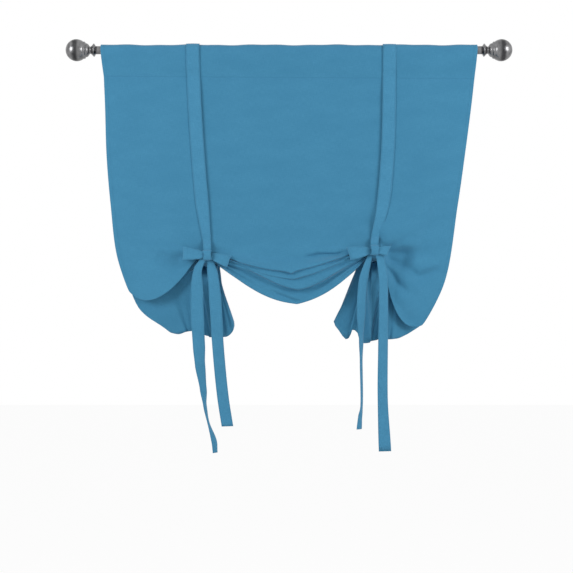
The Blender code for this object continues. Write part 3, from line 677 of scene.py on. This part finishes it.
def thread_places():
    """Threads across the panel: even, but closer where the cloth is gathered or hemmed."""
    places = [0.0, 0.004, 0.008, 0.0116, 0.0126]
    while places[-1] < PANEL_WIDTH / 2:
        u = places[-1]
        near = min(abs(u - LEFT_U - 0.02), abs(u - 0.2))
        places.append(u + mix(0.0037, 0.0068, ease((near - 0.11) / 0.08)))
    mirrored = [PANEL_WIDTH - u for u in places[:-1]]
    return sorted(places + [u for u in mirrored if u - places[-1] > 0.002])


def lay_cloth(name, rows, flat, material):
    """A grid of cloth laid through the rows, its cut kept in metres as the UV map."""
    shape = bmesh.new()
    wide, long = len(rows) - 1, len(rows[0]) - 1
    bmesh.ops.create_grid(shape, x_segments=wide, y_segments=long, size=0.5)
    cut = shape.loops.layers.uv.new("cut")
    for face in shape.faces:
        for corner in face.loops:
            place = corner.vert.co
            corner[cut].uv = flat(round((place.x + 0.5) * wide), round((place.y + 0.5) * long))
    for vert in shape.verts:
        vert.co = rows[round((vert.co.x + 0.5) * wide)][round((vert.co.y + 0.5) * long)]
    return made_piece(name, shape, material)


def woven(name, light, middle, deep):
    """Plain woven polyester: a fine weave with slubs, a faint mottle, and a soft sheen."""
    cloth = Finish(name, Roughness=0.82, Sheen_Weight=0.18, Sheen_Roughness=0.45,
                   Specular_IOR_Level=0.25)
    cut = cloth.node("ShaderNodeUVMap", {"uv_map": "cut"})["UV"]
    axes = cloth.node("ShaderNodeSeparateXYZ", {}, {"Vector": cut})
    weave = axes["X"].wave(0.0011) * axes["Y"].wave(0.0011)
    slubs = cloth.grain(cut, (60.0, 1100.0, 1.0)) + cloth.grain(cut, (1100.0, 60.0, 1.0))
    mottle = cloth.grain(cut, (9.0, 26.0, 1.0), 4.0)
    shade = cloth.blend(mottle.between(0.25, 0.75), middle, light)
    shade = cloth.blend((slubs * 0.5 + weave * 0.10).between(0.62, 0.38) * 0.55, shade, deep)
    return cloth, axes, shade, weave * 0.5 + slubs * 0.6


panel_cloth, panel_axes, panel_shade, panel_height = woven(
    "blue_cloth", BLUE_LIGHT, BLUE, BLUE_DEEP)
side_distance = PANEL_WIDTH / 2 - abs(panel_axes["X"] - PANEL_WIDTH / 2)
side_line = abs(side_distance - SIDE_HEM).between(0.0009, 0.0003)
pocket_line = abs(panel_axes["Y"] + 0.0040 - 0.0067 * panel_axes["X"]).between(0.0016, 0.0006)
hem_line = abs(panel_axes["Y"] - (PANEL_LENGTH - HEM_DEPTH)).between(0.0013, 0.0005)
dashes = side_line * panel_axes["Y"].wave(STITCH).between(-0.5, 0.1)
dashes = dashes + (pocket_line + hem_line) * panel_axes["X"].wave(STITCH).between(-0.5, 0.1)
panel_colour = panel_cloth.blend(dashes * 0.7, panel_shade, BLUE_DEEP)
panel_cloth.feed(panel_cloth.surface.inputs["Base Color"], panel_colour)
panel_cloth.relief(panel_height - 2.2 * (side_line + pocket_line) + 1.6 * dashes, 0.00016)

places = thread_places()
threads = [panel_thread(u) for u in places]
lengths = []
for thread in threads:
    run = [0.0]
    for first, second in zip(thread, thread[1:]):
        run.append(run[-1] + (second - first).length)
    lengths.append([place - run[STITCH_ROW] for place in run])
panel = lay_cloth("draped_panel", threads,
                  lambda thread, row: (places[thread], lengths[thread][row]), panel_cloth.material)
thickness = panel.modifiers.new("thickness", "SOLIDIFY")
thickness.thickness = CLOTH
thickness.offset = 0.0
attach(panel, "root")
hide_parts("curtain_panel")

# The ties are flat straps of the same cloth, doubled and sewn, 1.5 inches wide. One of each pair
# hangs down the front and one down the back from the header. The back one passes under the
# gathered cloth and comes up to the front one, and they are tied in a bow.
TIE_WIDTH = 0.038
TIE_CLOTH = 0.0011
TIE_GAP = 0.0008
TIE_OFFSET = CLOTH / 2 + TIE_GAP + TIE_CLOTH / 2
TIE_STITCH = 0.0028
ROD_TOP_ROW = STITCH_ROW // 2
STRAP_ROWS = 23
STRAP_GATHERED = 0.62
KNOT_DEPTH = 0.012
KNOT_CORE = 0.003
KNOT_GAP = 0.0005
KNOT_FRONT = BUNDLE_HALF_DEPTH + 0.004 + KNOT_CORE + KNOT_GAP
KNOT_MIDDLE = KNOT_FRONT + KNOT_DEPTH / 2
KNOT_BACK = KNOT_FRONT - KNOT_GAP - KNOT_CORE / 2
KNOT_HIGH = 0.0128
KNOT_DEEP = 0.0072
KNOT_STEPS = 28
KNOT_LIFT = 0.003
FRONT_LEAF = 0.009
REAR_LEAF = 0.012
STRAP_CUP = 0.0006
END_CUP = 0.0012
KNOT_CUP = 0.0016
TIE_BLUE = (0.060, 0.262, 0.438, 1.0)
TIE_LIGHT = (0.068, 0.284, 0.470, 1.0)
EDGE_LIFT = 0.0016
ACROSS = 10


class Bow:
    """One pair of ties: the loops as (reach, rise, half height, tilt), and the hanging ends.

    An end's entries are (drop, aside, width as seen from the front), from the bow.
    """

    def __init__(self, label, side, loops, tails):
        self.label = label
        self.side = side
        self.loops = loops
        self.tails = tails


LEFT_BOW = Bow(
    "left", LEFT,
    loops=((-0.068, 0.005, 0.018, 0.0), (0.062, -0.018, 0.017, 0.40)),
    tails=(((0.012, -0.014, 0.018), (0.038, -0.026, 0.024), (0.095, -0.028, 0.034),
            (0.166, -0.027, 0.036), (0.250, -0.023, 0.034), (0.305, -0.020, 0.028),
            (0.373, -0.011, 0.018), (0.420, -0.006, 0.008), (0.465, 0.003, 0.004),
            (0.520, 0.020, 0.014), (0.552, 0.023, 0.012)),
           ((0.012, 0.008, 0.022), (0.052, 0.016, 0.030), (0.124, 0.023, 0.034),
            (0.250, 0.030, 0.032), (0.396, 0.044, 0.032), (0.479, 0.057, 0.032))))
RIGHT_BOW = Bow(
    "right", RIGHT,
    loops=((0.040, -0.002, 0.014, 0.40), (-0.073, -0.010, 0.019, -0.34)),
    tails=(((0.012, 0.014, 0.022), (0.067, 0.023, 0.025), (0.110, 0.025, 0.026),
            (0.265, 0.024, 0.028), (0.410, 0.023, 0.029), (0.562, 0.029, 0.035)),
           ((0.012, -0.012, 0.016), (0.080, -0.031, 0.026), (0.165, -0.037, 0.026),
            (0.250, -0.037, 0.013), (0.310, -0.037, 0.008), (0.436, -0.036, 0.007),
            (0.465, -0.040, 0.012), (0.501, -0.043, 0.015))))

strap_cloth, strap_axes, strap_shade, strap_height = woven(
    "tie_cloth", TIE_LIGHT, TIE_BLUE, BLUE_DEEP)
seam_line = abs(TIE_WIDTH / 2 - abs(strap_axes["X"]) - 0.003).between(0.0008, 0.0003)
seam_dashes = seam_line * strap_axes["Y"].wave(TIE_STITCH).between(-0.5, 0.1)
strap_colour = strap_cloth.blend(seam_dashes * 0.6, strap_shade, BLUE_DEEP)
strap_cloth.feed(strap_cloth.surface.inputs["Base Color"], strap_colour)
strap_cloth.relief(strap_height - 2.0 * seam_line + 1.4 * seam_dashes, 0.00016)


def ribbon(shape, path, cup=0.0, closed=False):
    """Lay a grid of strap along a path of (middle, vector to its edge); cup bows it forward."""
    long = len(path) - 1
    made = bmesh.ops.create_grid(shape, x_segments=ACROSS, y_segments=long, size=0.5)["verts"]
    cut = shape.loops.layers.uv.verify()
    run = [0.0]
    for first, second in zip(path, path[1:]):
        run.append(run[-1] + (second[0] - first[0]).length)
    flat = {}
    for vert in made:
        across = vert.co.x * 2.0
        row = round((vert.co.y + 0.5) * long)
        flat[vert] = (across * TIE_WIDTH / 2, run[row])
        middle, edge = path[row]
        low, high = path[max(row - 1, 0)][0], path[min(row + 1, long)][0]
        face = (high - low).cross(edge).normalized()
        vert.co = middle + edge * across + face * cup * (1.0 - across * across)
    for face in {face for vert in made for face in vert.link_faces}:
        for corner in face.loops:
            corner[cut].uv = flat[corner.vert]
    if closed:
        ends = [vert for vert in made if flat[vert][1] in (run[0], run[-1])]
        bmesh.ops.remove_doubles(shape, verts=ends, dist=0.0001)


def smooth_strap(path, steps):
    """The same strap with more rows, each stretch turning smoothly into the next."""
    middles = smooth_path([middle for middle, _ in path], (steps,) * (len(path) - 1))
    edges = [path[0][1]]
    for (_, first), (_, second) in zip(path, path[1:]):
        edges += [first.lerp(second, ease(step / steps)) for step in range(1, steps + 1)]
    return list(zip(middles, edges))


def tie_thread(side):
    """How far across the cut the tie is sewn in."""
    return side.inset if side.sign < 0 else PANEL_WIDTH - side.inset


def offset_line(points, distance):
    """A path in the plane across the rod, moved sideways by a distance, outward positive."""
    moved = []
    for i, point in enumerate(points):
        along = points[min(i + 1, len(points) - 1)] - points[max(i - 1, 0)]
        away = Vector((0.0, along.z, -along.y)).normalized()
        moved.append(point + away * distance)
    return moved


def front_strap(side):
    """The strap from the top of the rod down the front to the knot, one edge a little proud.

    It lies on the cloth down to STRAP_ROWS below the flat part, and narrows as it nears the knot.
    """
    thread = panel_thread(tie_thread(side))
    stop = STITCH_ROW + sum(FLAT_STEPS) + STRAP_ROWS
    line = offset_line(thread[ROD_TOP_ROW:stop], TIE_OFFSET)
    half = Vector((TIE_WIDTH / 2, 0.0, 0.0))
    upper = []
    for point in line[:-1]:
        lift = EDGE_LIFT * ease((-point.z - 0.05) / 0.08)
        gathered = mix(1.0, STRAP_GATHERED, ease((-point.z - side.drop + 0.17) / 0.15))
        edge = half * gathered - Vector((0.0, -side.sign * lift, 0.0))
        upper.append((point - Vector((0.0, lift, 0.0)), edge))
    run = [(line[-1] - Vector((0.0, EDGE_LIFT, 0.0)), half * STRAP_GATHERED),
           (Vector((side.bow_x, -(KNOT_FRONT + 0.001), -side.drop + 0.026)), half * 0.60),
           (Vector((side.bow_x, -(KNOT_FRONT + 0.004), -side.drop + 0.016)), half * 0.58),
           (Vector((side.bow_x, -KNOT_MIDDLE, -side.drop + 0.006)), half * 0.54)]
    return upper + smooth_strap(run, 5)


def back_strap(side):
    """The strap down the back, forward under the gathered cloth and up behind the knot."""
    thread = panel_thread(tie_thread(side))
    line = offset_line(thread[ROD_TOP_ROW - 3:0:-1], -TIE_OFFSET)
    half = Vector((TIE_WIDTH / 2, 0.0, 0.0))
    low = -side.drop + BUNDLE_TOP - (PLEATS - 1) * BUNDLE_PITCH - TIE_OFFSET - 0.0024
    behind = BACK_LEAF + 0.009
    run = [(0.0035, -0.16), (0.0035, -0.30), (0.0045, -0.44),
           (behind * 0.7, -side.drop + 0.048), (behind, -side.drop + 0.016),
           (behind, -side.drop - 0.018), (behind - 0.006, low - 0.009),
           (BUNDLE_HALF_DEPTH, low), (0.0, low), (-BUNDLE_HALF_DEPTH + 0.002, low)]
    path = [(line[-1], half)]
    for backward, height in run:
        path.append((Vector((thread_x(tie_thread(side), -height), backward, height)), half))
    path.append((Vector((side.bow_x, -KNOT_BACK + 0.001, low + 0.005)), half * 0.82))
    path.append((Vector((side.bow_x, -KNOT_BACK, -side.drop)), half * 0.68))
    return [(point, half) for point in line[:-1]] + smooth_strap(path, 6)


def loop_rows(side, loop, near, leaf, start):
    """A loop of the bow: out along its back leaf, round the end, and home on its front leaf.

    The rows of the shape are (along the loop, forward of its back leaf, share of its height).
    """
    reach, rise, half_height, tilt = loop
    shape = ((0.0, 0.0, 0.42), (0.16, -0.10, 0.52), (0.38, -0.22, 0.74), (0.66, -0.18, 0.92),
             (0.92, -0.04, 1.0), (1.00, 0.35, 1.0), (0.95, 0.80, 1.0), (0.70, 1.0, 0.94),
             (0.42, 0.86, 0.76), (0.18, 0.62, 0.54), (0.0, 0.40, 0.42))
    path = []
    for along, forward, spread in shape:
        middle = Vector((side.bow_x + mix(start, reach, along), -(near + leaf * forward),
                         -side.drop + KNOT_LIFT + rise * along))
        edge = Vector((tilt * along, 0.0, 1.0)).normalized() * half_height * spread
        path.append((middle, edge if reach > 0 else -edge))
    return smooth_strap(path, 4)


def hanging_end(side, tail, near):
    """A tie's end, hanging from the knot and turned to show the width given."""
    _, aside, shown = tail[0]
    top = Vector((side.bow_x + aside * 0.6, -near, -side.drop))
    path = [(top, Vector((shown * 0.4, 0.0, 0.0)))]
    for drop, aside, shown in tail:
        pinch = mix(0.6, 1.0, ease(drop / 0.09))
        half = TIE_WIDTH / 2 * pinch
        across = min(shown / 2, half)
        depth = math.sqrt(half * half - across * across) * ease(drop / 0.12) * 0.45
        forward = near + 0.004 * math.sin(drop * 14.0)
        middle = Vector((side.bow_x + aside, -forward, -side.drop - drop))
        path.append((middle, Vector((across, depth, 0.0))))
    return smooth_strap(path, 8)


def knot_rows(side):
    """The turn of strap that wraps the middle of the bow, drawn in to two soft pleats."""
    path = []
    for step in range(KNOT_STEPS + 1):
        turn = math.tau * step / KNOT_STEPS
        high, deep = KNOT_HIGH * math.cos(turn), KNOT_DEEP * math.sin(turn)
        pinch = 0.0115 + 0.0012 * math.cos(2.0 * turn)
        middle = Vector((side.bow_x + 0.0012 * math.sin(turn), -(KNOT_FRONT + KNOT_DEEP) - deep,
                         -side.drop + KNOT_LIFT + high))
        path.append((middle, Vector((pinch, 0.0, 0.0012 * math.sin(turn)))))
    return path


def finish_tie(name, shape, node):
    """Give a tie its doubled thickness, and its place in the model."""
    made = made_piece(name, shape, strap_cloth.material)
    doubled = made.modifiers.new("doubled", "SOLIDIFY")
    doubled.thickness = TIE_CLOTH
    doubled.offset = 0.0
    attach(made, "root")
    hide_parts(node)


def tie_bow(bow):
    """Make both ties of a pair: the front one also wraps the knot."""
    side = bow.side
    front = bmesh.new()
    front.loops.layers.uv.new("cut")
    ribbon(front, front_strap(side), STRAP_CUP)
    ribbon(front, loop_rows(side, bow.loops[0], KNOT_MIDDLE, FRONT_LEAF, 0.0), END_CUP)
    ribbon(front, hanging_end(side, bow.tails[0], KNOT_MIDDLE), END_CUP)
    ribbon(front, knot_rows(side), KNOT_CUP, closed=True)
    finish_tie(bow.label + "_front_strap", front, bow.label + "_front_tie")
    back = bmesh.new()
    back.loops.layers.uv.new("cut")
    start = math.copysign(0.004, bow.loops[1][0])
    ribbon(back, back_strap(side), STRAP_CUP)
    ribbon(back, loop_rows(side, bow.loops[1], KNOT_BACK, REAR_LEAF, start), END_CUP)
    ribbon(back, hanging_end(side, bow.tails[1], KNOT_BACK), END_CUP)
    finish_tie(bow.label + "_back_strap", back, bow.label + "_back_tie")


tie_bow(LEFT_BOW)
tie_bow(RIGHT_BOW)

# The stage is a plain pale floor under the curtain and an even backdrop, which the camera,
# reflections and clear things see at full white. Two broad soft lamps light the front from the
# left and the right, and the backdrop's own plain glow fills the shadows.
FLOOR_LEVEL = -1.75
PLAIN_GLOW = 0.50
LAMP_POWER = 36.0


def floor_finish():
    """Matt near-white, which the camera and reflections see nearly at the white of the backdrop."""
    floor = Finish("floor_white", Base_Color=(0.86, 0.86, 0.86, 1.0), Roughness=0.9)
    path = floor.node("ShaderNodeLightPath")
    seen = path["Is Camera Ray"] + path["Is Glossy Ray"] + path["Is Transmission Ray"]
    white = {"Color": (1.0, 1.0, 1.0, 1.0), "Strength": 1.0}
    glow = floor.node("ShaderNodeEmission", {}, white)["Emission"]
    bare = Shade(floor, floor.surface.outputs["BSDF"])
    both = floor.node("ShaderNodeMixShader", {}, {0: seen * 0.94, 1: bare, 2: glow})["Shader"]
    floor.feed(floor.tree.nodes["Material Output"].inputs["Surface"], both)
    return floor.material


def make_floor():
    """Lay one flat sheet under the curtain as stage."""
    shape = bmesh.new()
    bmesh.ops.create_grid(shape, x_segments=1, y_segments=1, size=8.0)
    bmesh.ops.translate(shape, vec=(0.0, 0.0, FLOOR_LEVEL), verts=shape.verts[:])
    made_piece("floor", shape, floor_finish())


def make_world(plain):
    """An even white surround: full for the camera, gloss and glass, and plain as light."""
    world = bpy.data.worlds.new("backdrop")
    bpy.context.scene.world = world
    world.use_nodes = True
    nodes, links = world.node_tree.nodes, world.node_tree.links
    nodes.clear()
    path = nodes.new("ShaderNodeLightPath")
    seen = nodes.new("ShaderNodeMath")
    seen.operation = "ADD"
    clear = nodes.new("ShaderNodeMath")
    clear.operation = "ADD"
    clear.use_clamp = True
    strength = nodes.new("ShaderNodeMapRange")
    strength.inputs["To Min"].default_value = plain
    surface = nodes.new("ShaderNodeBackground")
    out = nodes.new("ShaderNodeOutputWorld")
    links.new(path.outputs["Is Camera Ray"], seen.inputs[0])
    links.new(path.outputs["Is Glossy Ray"], seen.inputs[1])
    links.new(seen.outputs[0], clear.inputs[0])
    links.new(path.outputs["Is Transmission Ray"], clear.inputs[1])
    links.new(clear.outputs[0], strength.inputs["Value"])
    links.new(strength.outputs["Result"], surface.inputs["Strength"])
    links.new(surface.outputs["Background"], out.inputs["Surface"])
    surface.inputs["Color"].default_value = (1.0, 1.0, 1.0, 1.0)


def add_lamp(name, place, aim, size, power):
    """A soft square lamp at a place, turned to face its aim."""
    lamp = bpy.data.lights.new(name, "AREA")
    lamp.shape = "RECTANGLE"
    lamp.size, lamp.size_y = size
    lamp.energy = power
    made = bpy.data.objects.new(name, lamp)
    made.location = place
    made.rotation_euler = (Vector(aim) - Vector(place)).to_track_quat("-Z", "Y").to_euler()
    bpy.context.scene.collection.objects.link(made)


make_floor()
make_world(PLAIN_GLOW)
for lamp_name, lamp_x in (("left", -2.3), ("right", 2.3)):
    add_lamp(lamp_name, (lamp_x, -1.5, 0.3), (0.0, 0.0, -0.4), (1.1, 1.1), LAMP_POWER)

# The camera stands square to the curtain, 3.6 m in front of it and a little below its middle, with
# an 80 mm lens.
lens = bpy.data.cameras.new("camera")
lens.lens = 80.0
lens.sensor_width = 36.0
camera = bpy.data.objects.new("camera", lens)
camera.location = (-0.0071, -3.616, -0.671)
camera.rotation_euler = (math.pi / 2, 0.0, 0.0)
bpy.context.scene.collection.objects.link(camera)
bpy.context.scene.camera = camera
bpy.context.scene.view_settings.view_transform = "Standard"
